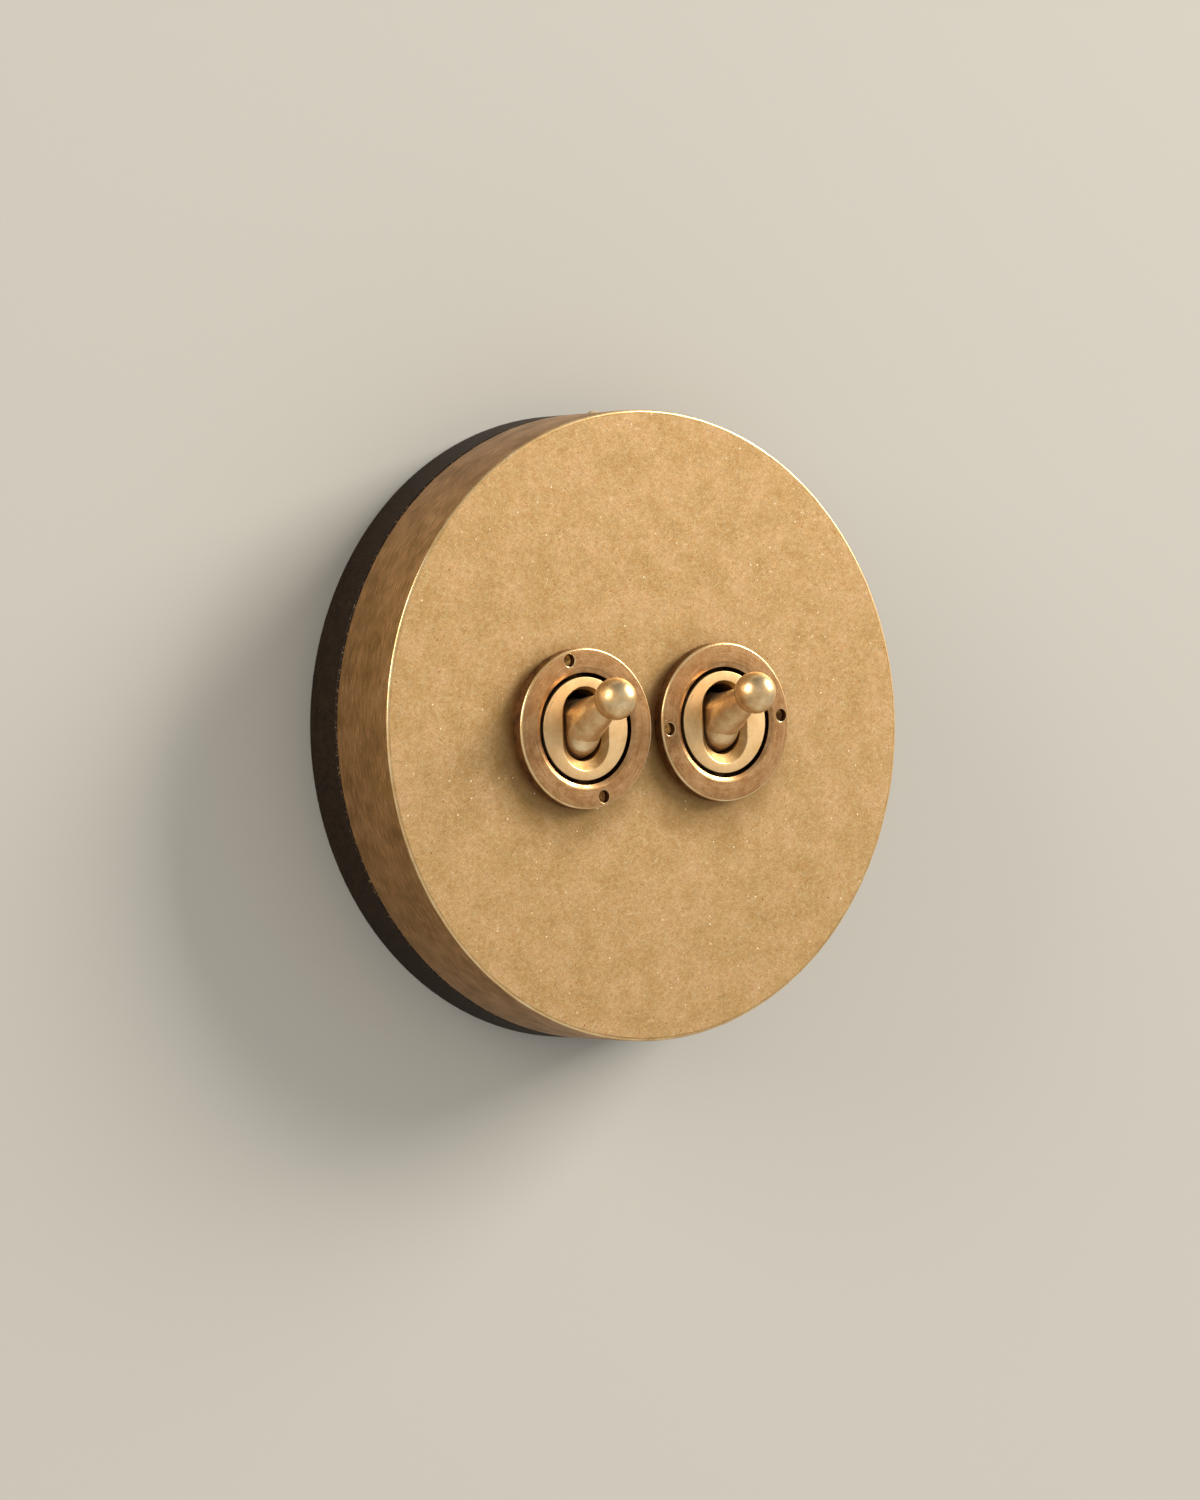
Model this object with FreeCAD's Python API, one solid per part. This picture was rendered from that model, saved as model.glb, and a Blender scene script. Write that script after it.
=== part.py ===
import FreeCAD, Part
import math
import os

from FreeCAD import Vector

# Round surface-mounted brass plate with two dolly switches side by side, millimetres.
# Each piece is drawn lying on its back: x to the right, y up the wall, z out of the wall.
# stand() turns it upright at the end, so that the wall is the plane y = 0 and z is up.

# Turned brass cover, a shallow cup
cover_diameter = 90.0
cover_depth = 12.7
cover_wall = 1.5
cover_front_radius = 0.4
cover_rim_chamfer = 0.2
cover_inner_radius = 1.2

# Moulded pattress between the wall and the cover
pattress_height = 6.7
pattress_floor = 2.0
pattress_edge_chamfer = 0.45
spigot_height = 5.0
spigot_wall = 2.5
spigot_clearance = 0.15
wall_hole_spacing = 60.3
wall_hole_diameter = 4.4
wall_pad_diameter = 10.0
wall_pad_height = 1.5
cable_hole_diameter = 16.0
cable_hole_offset = 25.0

# Radial headless screws that hold the cover, one at the top and one at the bottom
cover_screw_diameter = 2.0
cover_screw_from_rim = 1.9
cover_screw_stands_out = 0.35
cover_screw_length = 6.0
cover_screw_slot_width = 0.4
cover_screw_slot_depth = 0.7
cover_screw_hole_clearance = 0.1
cover_screw_end_clearance = 0.5
screw_thread_clearance = 0.05
screw_lug_width = 9.0
screw_lug_depth = 3.0

# Ring nut on the front of the cover
switch_pitch = 24.6
ring_diameter = 22.8
ring_height = 1.9
ring_outer_chamfer = 0.35
ring_inner_chamfer = 0.85
spanner_hole_diameter = 1.9
spanner_hole_circle = 20.3
spanner_hole_depth = 1.1
spanner_hole_rim = 0.12
drill_point_angle = 59.0
left_ring_turn = 105.0
right_ring_turn = 3.5

# Threaded bush with its flange behind the cover
bush_diameter = 15.8
bush_recess = 0.3
bush_edge_chamfer = 0.45
thread_clearance = 0.05
cover_hole_clearance = 0.1
slot_width = 6.4
slot_above_axis = 5.6
slot_lip_depth = 0.8
slot_lip_at_sides = 0.85
slot_lip_above = 0.4
slot_lip_below = 1.45
flange_thickness = 1.5
flange_screw_diameter = 2.0
flange_screw_head_diameter = 3.8
flange_screw_head_height = 0.9
flange_screw_length = 6.0
flange_screw_slot_width = 0.5
flange_screw_slot_depth = 0.4

# Dolly, drawn pointing straight out and then tipped up by its throw
throw_angle = 22.0
pivot_depth = 2.8
pin_diameter = 1.6
pin_end_inset = 0.6
pin_clearance = 0.03
ball_diameter = 6.0
ball_reach = 11.0
neck_diameter = 3.8
boss_diameter = 8.7
boss_side_clearance = 0.2
boss_end_clearance = 0.2
boss_rim_margin = 0.05
stem_below_boss_radius = 0.95
stem_base_inset = 0.35
tail_diameter = 5.0
tail_reach = 7.2
tail_chamfer = 0.3
spring_bore_start = 1.35

# Plunger and spring in the tail of the dolly
plunger_diameter = 3.0
plunger_clearance = 0.05
plunger_back_reach = 4.6
plunger_shoulder_reach = 7.7
plunger_nose_diameter = 2.2
plunger_nose_reach = 8.7
plunger_taper = 0.6
spring_wire = 0.36
spring_side_clearance = 0.1
spring_turns = 5

# See-saw contact that the plunger throws over
rocker_angle = 9.0
rocker_pivot_height = 1.6
rocker_pivot_diameter = 2.0
rocker_pivot_clearance = 0.05
rocker_width = 3.8
rocker_arm = 7.6
rocker_underside = 0.9
rocker_thickness = 0.8
rocker_saddle_wall = 0.7
rocker_saddle_drop = 0.2
contact_reach = 6.5
contact_diameter = 2.4
contact_height = 0.6
contact_gap = 0.05
contact_plate_margin = 0.4

# Moulded housing of each mechanism
housing_wall = 1.4
housing_floor = 1.8
housing_corner_radius = 1.0
housing_to_pattress = 1.2
housing_inner_wall = 1.3
housing_pillar_width = 4.0
housing_pocket_roof = 1.2
cavity_beyond_contact = 2.1

# Brass terminals in the ends of the housing
strip_thickness = 0.8
tongue_width = 3.0
tongue_clearance = 0.1
terminal_width = 5.0
terminal_side_clearance = 0.8
terminal_length = 3.9
terminal_height = 7.0
terminal_end_inset = 0.6
wire_hole_diameter = 2.6
wire_hole_height = 4.6
clamp_screw_diameter = 2.6
clamp_screw_length = 4.6
clamp_screw_inset = 0.2
clamp_screw_slot_width = 0.5
clamp_screw_slot_depth = 0.6
common_bar_width = 2.4
common_bar_clearance = 0.5

# How far a cutting shape runs past the faces it cuts, and how closely an edge is matched to its place
over_cut = 1.0
match = 0.001

# Radii and levels that follow from the sizes above
cover_radius = cover_diameter / 2
face_level = pattress_height + cover_depth
under_face_level = face_level - cover_wall
ring_level = face_level + ring_height
bush_level = ring_level - bush_recess
pivot_level = bush_level - pivot_depth
flange_level = under_face_level - flange_thickness
housing_rear = pattress_floor + housing_to_pattress
cavity_floor = housing_rear + housing_floor
rocker_level = cavity_floor + rocker_pivot_height
spigot_radius = cover_radius - cover_wall - spigot_clearance
hollow_radius = spigot_radius - spigot_wall
spigot_level = pattress_height + spigot_height
bush_radius = bush_diameter / 2
boss_radius = boss_diameter / 2
boss_width = slot_width - 2 * boss_side_clearance
boss_rim_radius = boss_width / 2 + boss_rim_margin
slot_below_axis = boss_radius + boss_end_clearance
stem_base_radius = boss_radius - stem_below_boss_radius
stem_base_reach = math.sqrt((boss_radius - stem_base_inset) ** 2 - stem_base_radius ** 2)
pin_length = bush_diameter - 2 * pin_end_inset
cavity_half_length = contact_reach + cavity_beyond_contact
pocket_start = cavity_half_length + housing_inner_wall
terminal_near = pocket_start + tongue_clearance
terminal_far = terminal_near + terminal_length
housing_length = 2 * (terminal_far + terminal_end_inset)
flange_screw_offset = (pocket_start + housing_length / 2) / 2
terminal_offset = housing_pillar_width / 2 + terminal_side_clearance + terminal_width / 2
housing_width = 2 * (terminal_offset + terminal_width / 2 + terminal_side_clearance + housing_wall)
cover_screw_level = pattress_height + cover_screw_from_rim


def turned(start, *steps):
    """Solid turned about z. A step is (radius, z) for a straight line, or four numbers for an arc and its end."""
    here = Vector(start[0], 0, start[1])
    first = here
    edges = []
    for step in steps:
        end = Vector(step[-2], 0, step[-1])
        if len(step) == 4:
            edges.append(Part.Arc(here, Vector(step[0], 0, step[1]), end).toShape())
        else:
            edges.append(Part.LineSegment(here, end).toShape())
        here = end
    edges.append(Part.LineSegment(here, first).toShape())
    return Part.Face(Part.Wire(edges)).revolve(Vector(), Vector(0, 0, 1), 360)


def arc_point(radius, level, angle):
    """Radius and height of a point on an arc about a centre on the axis, the angle taken up from the horizontal."""
    turn = math.radians(angle)
    return radius * math.cos(turn), level + radius * math.sin(turn)


def rod(radius, start, end, x=0.0, y=0.0):
    """Round bar along z."""
    return Part.makeCylinder(radius, end - start, Vector(x, y, start))


def block(x0, x1, y0, y1, z0, z1):
    """Rectangular block between two corners, given in either order."""
    corner = Vector(min(x0, x1), min(y0, y1), min(z0, z1))
    return Part.makeBox(abs(x1 - x0), abs(y1 - y0), abs(z1 - z0), corner)


def obround(width, low, high, level):
    """Outline at one level with two straight sides and round ends, running along y from low to high."""
    radius = width / 2
    bottom = low + radius
    top = high - radius
    edges = [
        Part.LineSegment(Vector(radius, bottom, level), Vector(radius, top, level)).toShape(),
        Part.Arc(Vector(radius, top, level), Vector(0, high, level), Vector(-radius, top, level)).toShape(),
        Part.LineSegment(Vector(-radius, top, level), Vector(-radius, bottom, level)).toShape(),
        Part.Arc(Vector(-radius, bottom, level), Vector(0, low, level), Vector(radius, bottom, level)).toShape(),
    ]
    return Part.Wire(edges)


def tipped(shape, angle, level):
    """Turns a piece about the x axis at a level, a positive angle bringing its front end up."""
    moved = shape.copy()
    moved.rotate(Vector(0, 0, level), Vector(1, 0, 0), -angle)
    return moved


def upright_edges(shape):
    """The straight edges that run along z."""
    def upright(box):
        return box.ZLength > match and box.DiagonalLength < box.ZLength + match

    return [edge for edge in shape.Edges if upright(edge.BoundBox)]


def stand(shape, name, x=0.0):
    """Turns a piece upright against the wall, moves it to its switch and writes it."""
    placed = shape.copy()
    placed.translate(Vector(x, 0, 0))
    placed.rotate(Vector(), Vector(1, 0, 0), 90)
    placed.exportStep("parts/" + name + ".step")


def make_cover():
    """Turned cup: flat face, straight side wall, softened front edge, two bush holes and two screw holes."""
    inner = cover_radius - cover_wall
    edge = arc_point(cover_front_radius, face_level - cover_front_radius, 45)
    corner = arc_point(cover_inner_radius, under_face_level - cover_inner_radius, 45)
    cup = turned(
        (0, face_level),
        (cover_radius - cover_front_radius, face_level),
        (cover_radius - cover_front_radius + edge[0], edge[1], cover_radius, face_level - cover_front_radius),
        (cover_radius, pattress_height + cover_rim_chamfer),
        (cover_radius - cover_rim_chamfer, pattress_height),
        (inner, pattress_height),
        (inner, under_face_level - cover_inner_radius),
        (inner - cover_inner_radius + corner[0], corner[1], inner - cover_inner_radius, under_face_level),
        (0, under_face_level),
    )
    for x in (-switch_pitch / 2, switch_pitch / 2):
        cup = cup.cut(rod(bush_radius + cover_hole_clearance, under_face_level - over_cut, face_level + over_cut, x))
    hole = Part.makeCylinder(
        cover_screw_diameter / 2 + cover_screw_hole_clearance,
        cover_diameter + 2 * over_cut,
        Vector(0, -cover_radius - over_cut, cover_screw_level),
        Vector(0, 1, 0),
    )
    return cup.cut(hole)


def make_pattress():
    """Moulded base: flat back, outer band, spigot inside the cover, screw lugs, fixing pads and cable holes."""
    base = turned(
        (0, 0),
        (cover_radius, 0),
        (cover_radius, pattress_height - pattress_edge_chamfer),
        (cover_radius - pattress_edge_chamfer, pattress_height),
        (spigot_radius, pattress_height),
        (spigot_radius, spigot_level),
        (hollow_radius, spigot_level),
        (hollow_radius, pattress_floor),
        (0, pattress_floor),
    )
    inside = rod(spigot_radius, 0, spigot_level)
    half_lug = screw_lug_width / 2
    for side in (-1, 1):
        lug = block(-half_lug, half_lug, hollow_radius - screw_lug_depth, spigot_radius, 0, spigot_level)
        pad = rod(wall_pad_diameter / 2, 0, pattress_floor + wall_pad_height, side * wall_hole_spacing / 2)
        lug.rotate(Vector(), Vector(0, 0, 1), 90 - 90 * side)
        base = base.fuse(lug.common(inside)).fuse(pad)
    for side in (-1, 1):
        past_pad = pattress_floor + wall_pad_height + over_cut
        past_floor = pattress_floor + over_cut
        base = base.cut(rod(wall_hole_diameter / 2, -over_cut, past_pad, side * wall_hole_spacing / 2))
        base = base.cut(rod(cable_hole_diameter / 2, -over_cut, past_floor, 0, side * cable_hole_offset))
        hole = Part.makeCylinder(
            cover_screw_diameter / 2 + screw_thread_clearance,
            cover_screw_length + cover_screw_end_clearance,
            Vector(0, side * cover_radius, cover_screw_level),
            Vector(0, -side, 0),
        )
        base = base.cut(hole)
    return base.removeSplitter()


def make_cover_screws():
    """Two slotted headless screws along y, their slightly domed ends standing just out of the cover."""
    radius = cover_screw_diameter / 2
    dome = cover_screw_stands_out
    sphere_radius = (radius ** 2 + dome ** 2) / (2 * dome)
    edge_angle = math.degrees(math.acos(radius / sphere_radius))
    mid = arc_point(sphere_radius, dome - sphere_radius, (90 + edge_angle) / 2)
    half_slot = cover_screw_slot_width / 2
    screws = []
    for side in (-1, 1):
        screw = turned(
            (0, -cover_screw_length),
            (radius, -cover_screw_length),
            (radius, 0),
            (mid[0], mid[1], 0, dome),
        )
        slot_floor = dome - cover_screw_slot_depth
        screw = screw.cut(block(-radius, radius, -half_slot, half_slot, slot_floor, dome + over_cut))
        screw.rotate(Vector(), Vector(1, 0, 0), -90 * side)
        screw.translate(Vector(0, side * cover_radius, cover_screw_level))
        screws.append(screw)
    return Part.makeCompound(screws)


def make_ring_nut(turn):
    """Flat ring nut with a bright outer chamfer, a wide inner chamfer and two blind spanner holes."""
    bore = bush_radius + thread_clearance
    outer = ring_diameter / 2
    ring = turned(
        (bore, face_level),
        (outer, face_level),
        (outer, ring_level - ring_outer_chamfer),
        (outer - ring_outer_chamfer, ring_level),
        (bore + ring_inner_chamfer, ring_level),
        (bore, ring_level - ring_inner_chamfer),
    )
    radius = spanner_hole_diameter / 2
    bottom = ring_level - spanner_hole_depth
    drill = turned(
        (0, ring_level + over_cut),
        (radius + spanner_hole_rim, ring_level + over_cut),
        (radius + spanner_hole_rim, ring_level),
        (radius, ring_level - spanner_hole_rim),
        (radius, bottom),
        (0, bottom - radius / math.tan(math.radians(drill_point_angle))),
    )
    drill.translate(Vector(spanner_hole_circle / 2, 0, 0))
    for angle in (turn, turn + 180):
        hole = drill.copy()
        hole.rotate(Vector(), Vector(0, 0, 1), angle)
        ring = ring.cut(hole)
    return ring


def flange_screw_profile(clearance):
    """Countersunk screw, or the hole for it when a clearance is given."""
    shank = flange_screw_diameter / 2 + clearance
    head = flange_screw_head_diameter / 2 + clearance
    return turned(
        (0, under_face_level),
        (head, under_face_level),
        (shank, under_face_level - flange_screw_head_height),
        (shank, under_face_level - flange_screw_length - clearance),
        (0, under_face_level - flange_screw_length - clearance),
    )


def bush_slot():
    """The slot through the bush and its sloped lip, wider below, where the lever comes down."""
    rear = flange_level - over_cut
    lip_start = bush_level - slot_lip_depth
    slot = Part.Face(obround(slot_width, -slot_below_axis, slot_above_axis, rear))
    slot = slot.extrude(Vector(0, 0, bush_level + over_cut - rear))
    inner = obround(slot_width, -slot_below_axis, slot_above_axis, lip_start)
    outer = obround(
        slot_width + 2 * slot_lip_at_sides,
        -slot_below_axis - slot_lip_below,
        slot_above_axis + slot_lip_above,
        bush_level,
    )
    return slot, Part.makeLoft([inner, outer], True, True)


def make_bush():
    """Threaded bush with a lipped slot milled through it, and a flange with two countersunk holes."""
    barrel = turned(
        (0, flange_level),
        (bush_radius, flange_level),
        (bush_radius, bush_level - bush_edge_chamfer),
        (bush_radius - bush_edge_chamfer, bush_level),
        (0, bush_level),
    )
    half_width = housing_width / 2
    half_length = housing_length / 2
    flange = block(-half_width, half_width, -half_length, half_length, flange_level, under_face_level)
    flange = flange.makeFillet(housing_corner_radius, upright_edges(flange))
    bush = barrel.fuse(flange).removeSplitter()
    for shape in bush_slot():
        bush = bush.cut(shape)
    pin_hole = Part.makeCylinder(
        pin_diameter / 2, pin_length, Vector(-pin_length / 2, 0, pivot_level), Vector(1, 0, 0)
    )
    bush = bush.cut(pin_hole)
    for side in (-1, 1):
        hole = flange_screw_profile(screw_thread_clearance)
        hole.translate(Vector(0, side * flange_screw_offset, 0))
        bush = bush.cut(hole)
    return bush


def make_pivot_pin():
    """Straight pin pressed into the bush."""
    return Part.makeCylinder(
        pin_diameter / 2, pin_length, Vector(-pin_length / 2, 0, pivot_level), Vector(1, 0, 0)
    )


def make_dolly_boss():
    """Pivot boss turned about the pin's axis: flat sides and a full round rim."""
    half = boss_width / 2
    flat_radius = boss_radius - boss_rim_radius + math.sqrt(boss_rim_radius ** 2 - half ** 2)
    boss = turned((0, -half), (flat_radius, -half), (boss_radius, 0, flat_radius, half), (0, half))
    boss.rotate(Vector(), Vector(0, 1, 0), 90)
    return boss


def make_dolly():
    """Ball and flatted conical stem on a round pivot boss, with a bored tail, tipped up by the throw."""
    neck = neck_diameter / 2
    ball = ball_diameter / 2
    tail = tail_diameter / 2
    neck_height = ball_reach - math.sqrt(ball ** 2 - neck ** 2)
    dolly = turned(
        (0, ball_reach + ball),
        (ball, ball_reach, neck, neck_height),
        (stem_base_radius, stem_base_reach),
        (0, stem_base_reach),
    )
    for side in (-1, 1):
        flat = block(side * boss_width / 2, side * boss_diameter, -boss_radius, boss_radius, 0, ball_reach)
        dolly = dolly.cut(flat)
    stalk = turned(
        (0, 0),
        (tail, 0),
        (tail, -tail_reach + tail_chamfer),
        (tail - tail_chamfer, -tail_reach),
        (0, -tail_reach),
    )
    dolly = dolly.fuse(make_dolly_boss()).fuse(stalk)
    dolly = dolly.cut(rod(plunger_diameter / 2 + plunger_clearance, -tail_reach - over_cut, -spring_bore_start))
    pin_hole = Part.makeCylinder(
        pin_diameter / 2 + pin_clearance, boss_diameter, Vector(-boss_radius, 0, 0), Vector(1, 0, 0)
    )
    dolly = dolly.cut(pin_hole).removeSplitter()
    dolly.translate(Vector(0, 0, pivot_level))
    return tipped(dolly, throw_angle, pivot_level)


def make_plunger():
    """Plunger with a round nose, drawn pushed back into the tail as it passes the middle of the throw."""
    body = plunger_diameter / 2
    nose = plunger_nose_diameter / 2
    tip = arc_point(nose, -plunger_nose_reach, -45)
    plunger = turned(
        (0, -plunger_back_reach),
        (body, -plunger_back_reach),
        (body, -plunger_shoulder_reach),
        (nose, -plunger_shoulder_reach - plunger_taper),
        (nose, -plunger_nose_reach),
        (tip[0], tip[1], 0, -plunger_nose_reach - nose),
    )
    plunger.translate(Vector(0, 0, pivot_level))
    return tipped(plunger, throw_angle, pivot_level)


def make_spring():
    """Coil spring between the end of the bore and the back of the plunger."""
    wire_radius = spring_wire / 2
    radius = plunger_diameter / 2 + plunger_clearance - spring_side_clearance - wire_radius
    length = plunger_back_reach - spring_bore_start - 2 * wire_radius
    helix = Part.makeHelix(length / spring_turns, length, radius)
    section = Part.Wire(Part.makeCircle(wire_radius, Vector(radius, 0, 0), Vector(0, 1, 0)))
    spring = Part.Wire(helix.Edges).makePipeShell([section], True, True)
    spring.translate(Vector(0, 0, pivot_level - plunger_back_reach + wire_radius))
    return tipped(spring, throw_angle, pivot_level)


def make_rocker():
    """Bent contact strip with a round saddle and a contact at each end, tipped onto its lower contact."""
    half = rocker_width / 2
    top = rocker_underside + rocker_thickness
    bore = rocker_pivot_diameter / 2 + rocker_pivot_clearance
    saddle = bore + rocker_saddle_wall
    rocker = Part.makeCylinder(saddle, rocker_width, Vector(-half, 0, 0), Vector(1, 0, 0))
    for side in (-1, 1):
        arm = block(-half, half, 0, rocker_arm, rocker_underside, top)
        contact = rod(contact_diameter / 2, rocker_underside - contact_height, rocker_underside, 0, contact_reach)
        arm = arm.fuse(contact)
        arm.rotate(Vector(), Vector(1, 0, 0), rocker_angle)
        if side < 0:
            arm.rotate(Vector(), Vector(0, 0, 1), 180)
        rocker = rocker.fuse(arm)
    rocker = rocker.cut(Part.makeCylinder(bore, 2 * rocker_width, Vector(-rocker_width, 0, 0), Vector(1, 0, 0)))
    rocker = rocker.cut(block(-half, half, -saddle, saddle, -saddle, -rocker_saddle_drop)).removeSplitter()
    rocker.translate(Vector(0, 0, rocker_level))
    return tipped(rocker, -rocker_angle, rocker_level)


def terminal_places():
    """The three terminals: name, side of the housing and end of the housing."""
    return (("upper", -1, 1), ("lower", -1, -1), ("common", 1, 1))


def make_terminal(name, side, end):
    """Brass terminal block with its strip, and the fixed contact or the round bar that the rocker turns on."""
    x = side * terminal_offset
    half_body = terminal_width / 2
    top = cavity_floor + strip_thickness
    body_top = cavity_floor + terminal_height
    wire_level = cavity_floor + wire_hole_height
    body = block(x - half_body, x + half_body, terminal_near, terminal_far, cavity_floor, body_top)
    wire_hole = Part.makeCylinder(
        wire_hole_diameter / 2, terminal_length, Vector(x, terminal_near, wire_level), Vector(0, 1, 0)
    )
    middle = (terminal_near + terminal_far) / 2
    screw_hole = rod(clamp_screw_diameter / 2 + screw_thread_clearance, cavity_floor, wire_level, x, middle)
    body = body.cut(wire_hole).cut(screw_hole)
    half_tongue = tongue_width / 2
    if name == "common":
        half_bar = common_bar_width / 2
        reach = rocker_width / 2 + common_bar_clearance
        body = body.fuse(block(x - half_tongue, x + half_tongue, -half_bar, terminal_near, cavity_floor, top))
        body = body.fuse(block(-reach, x, -half_bar, half_bar, cavity_floor, top))
        body = body.fuse(
            Part.makeCylinder(
                rocker_pivot_diameter / 2, 2 * reach, Vector(-reach, 0, rocker_level), Vector(1, 0, 0)
            )
        )
    else:
        contact_top = rocker_level + rocker_underside - contact_height - contact_gap
        half_plate = contact_diameter / 2 + contact_plate_margin
        start = contact_reach - half_plate
        end_of_plate = contact_reach + half_plate
        body = body.fuse(block(x - half_tongue, x + half_tongue, start, terminal_near, cavity_floor, top))
        body = body.fuse(block(x, half_plate, start, end_of_plate, cavity_floor, top))
        body = body.fuse(rod(contact_diameter / 2, cavity_floor, contact_top, 0, contact_reach))
    body = body.removeSplitter()
    if end < 0:
        body = body.mirror(Vector(), Vector(0, 1, 0))
    return body


def terminal_screw_places():
    """Where the clamping screws stand."""
    middle = (terminal_near + terminal_far) / 2
    return [(side * terminal_offset, end * middle) for name, side, end in terminal_places()]


def make_terminal_screws():
    """Three slotted grub screws, reached from behind."""
    radius = clamp_screw_diameter / 2
    start = housing_rear + clamp_screw_inset
    screws = []
    for x, y in terminal_screw_places():
        screw = rod(radius, start, start + clamp_screw_length, x, y)
        half_slot = clamp_screw_slot_width / 2
        slot = block(x - radius, x + radius, y - half_slot, y + half_slot, start, start + clamp_screw_slot_depth)
        screws.append(screw.cut(slot))
    return Part.makeCompound(screws)


def make_flange_screws():
    """Two slotted countersunk screws through the flange into the housing."""
    screws = []
    for side in (-1, 1):
        screw = flange_screw_profile(0.0)
        slot = block(
            -flange_screw_head_diameter, flange_screw_head_diameter,
            -flange_screw_slot_width / 2, flange_screw_slot_width / 2,
            under_face_level - flange_screw_slot_depth, under_face_level,
        )
        screw = screw.cut(slot)
        screw.translate(Vector(0, side * flange_screw_offset, 0))
        screws.append(screw)
    return Part.makeCompound(screws)


def make_housing():
    """Moulded box, open to the flange, with a pocket in each corner for a terminal."""
    half_width = housing_width / 2
    half_length = housing_length / 2
    box = block(-half_width, half_width, -half_length, half_length, housing_rear, flange_level)
    box = box.makeFillet(housing_corner_radius, upright_edges(box))
    inner = half_width - housing_wall
    box = box.cut(block(-inner, inner, -cavity_half_length, cavity_half_length, cavity_floor, flange_level))
    roof = flange_level - housing_pocket_roof
    pillar = housing_pillar_width / 2
    for side in (-1, 1):
        for end in (-1, 1):
            pocket = block(
                side * pillar, side * inner, end * pocket_start, end * half_length, cavity_floor, roof
            )
            box = box.cut(pocket)
    for name, side, end in terminal_places():
        x = side * terminal_offset
        half_slot = tongue_width / 2 + tongue_clearance
        slot_top = cavity_floor + strip_thickness + tongue_clearance
        slot = block(
            x - half_slot, x + half_slot, end * cavity_half_length, end * pocket_start, cavity_floor, slot_top
        )
        box = box.cut(slot)
    for x, y in terminal_screw_places():
        box = box.cut(rod(clamp_screw_diameter / 2 + screw_thread_clearance, housing_rear, cavity_floor, x, y))
    for side in (-1, 1):
        hole = flange_screw_profile(screw_thread_clearance)
        hole.translate(Vector(0, side * flange_screw_offset, 0))
        box = box.cut(hole)
    return box.removeSplitter()


os.makedirs("parts", exist_ok=True)

stand(make_cover(), "cover")
stand(make_pattress(), "pattress")
stand(make_cover_screws(), "cover_screws")

for place, across, ring_turn in (("left", -1, left_ring_turn), ("right", 1, right_ring_turn)):
    centre = across * switch_pitch / 2
    stand(make_ring_nut(ring_turn), place + "_ring_nut", centre)
    stand(make_bush(), place + "_bush", centre)
    stand(make_pivot_pin(), place + "_pivot_pin", centre)
    stand(make_dolly(), place + "_dolly", centre)
    stand(make_plunger(), place + "_plunger", centre)
    stand(make_spring(), place + "_spring", centre)
    stand(make_rocker(), place + "_rocker", centre)
    stand(make_housing(), place + "_housing", centre)
    stand(make_terminal_screws(), place + "_terminal_screws", centre)
    stand(make_flange_screws(), place + "_flange_screws", centre)
    for terminal_name, terminal_side, terminal_end in terminal_places():
        terminal = make_terminal(terminal_name, terminal_side, terminal_end)
        stand(terminal, place + "_" + terminal_name + "_terminal", centre)
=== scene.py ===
import math

import bmesh
import bpy
from mathutils import Matrix, Vector


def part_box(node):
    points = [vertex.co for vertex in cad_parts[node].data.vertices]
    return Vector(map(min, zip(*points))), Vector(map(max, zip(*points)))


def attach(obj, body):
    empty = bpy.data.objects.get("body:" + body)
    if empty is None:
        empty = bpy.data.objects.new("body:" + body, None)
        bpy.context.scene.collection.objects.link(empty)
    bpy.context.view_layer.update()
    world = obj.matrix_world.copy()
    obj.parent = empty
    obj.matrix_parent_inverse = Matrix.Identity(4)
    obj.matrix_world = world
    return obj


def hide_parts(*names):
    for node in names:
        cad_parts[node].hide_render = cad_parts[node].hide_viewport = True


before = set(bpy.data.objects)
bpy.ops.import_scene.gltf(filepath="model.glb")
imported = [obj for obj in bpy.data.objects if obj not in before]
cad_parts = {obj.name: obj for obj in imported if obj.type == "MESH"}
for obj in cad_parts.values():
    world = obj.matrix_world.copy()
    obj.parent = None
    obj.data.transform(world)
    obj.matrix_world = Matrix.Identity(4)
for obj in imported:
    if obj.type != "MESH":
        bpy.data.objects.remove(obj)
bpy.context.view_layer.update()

mm = 0.001
onFace = 0.001  # a polygon this near a flat face, in mm, lies on it
overCut = 1.0  # mm by which a cutter passes the face that it cuts
poleRadius = 1e-6  # a ring of points smaller than this, in mm, is one point
weldMade = 1e-7  # metres within which two corners of a made mesh are one
weldPacked = 1e-6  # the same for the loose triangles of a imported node
boreSegments, drillSegments, pinSegments = 128, 48, 32  # round cutters, from wide to thin
scene = bpy.context.scene
print("frame loaded:", len(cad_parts), "nodes")


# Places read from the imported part, in mm: across is x, out is -y (away from the wall), up is z
def nodeBox(name):
    low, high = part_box(name)
    return low / mm, high / mm


coverLow, coverHigh = nodeBox("cover")
faceOut = -coverLow.y
rimOut = -coverHigh.y
coverRadius = (coverHigh.x - coverLow.x) / 2
switches = {}
for side in ("left", "right"):
    ringLow, ringHigh = nodeBox(side + "_ring_nut")
    bushLow, bushHigh = nodeBox(side + "_bush")
    pinLow, pinHigh = nodeBox(side + "_pivot_pin")
    switches[side] = {
        "across": (ringLow.x + ringHigh.x) / 2,
        "ringOut": -ringLow.y,
        "bushOut": -bushLow.y,
        "flangeOut": -bushHigh.y,
        "pivotOut": -(pinLow.y + pinHigh.y) / 2,
    }
switchAcross = switches["right"]["across"]


# Camera, fitted to the outlines of the cover and the base in the photograph
photoCamera = {
    "azimuth": -35.907, "elevation": 1.158, "roll": 2.046,
    "distance": 905.2, "sideways": 4.369, "raised": -3.416,
    "focalPixels": 6241.4, "imageHeight": 1500, "sensor": 36.0, "clip": (0.01, 20.0),
}


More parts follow.
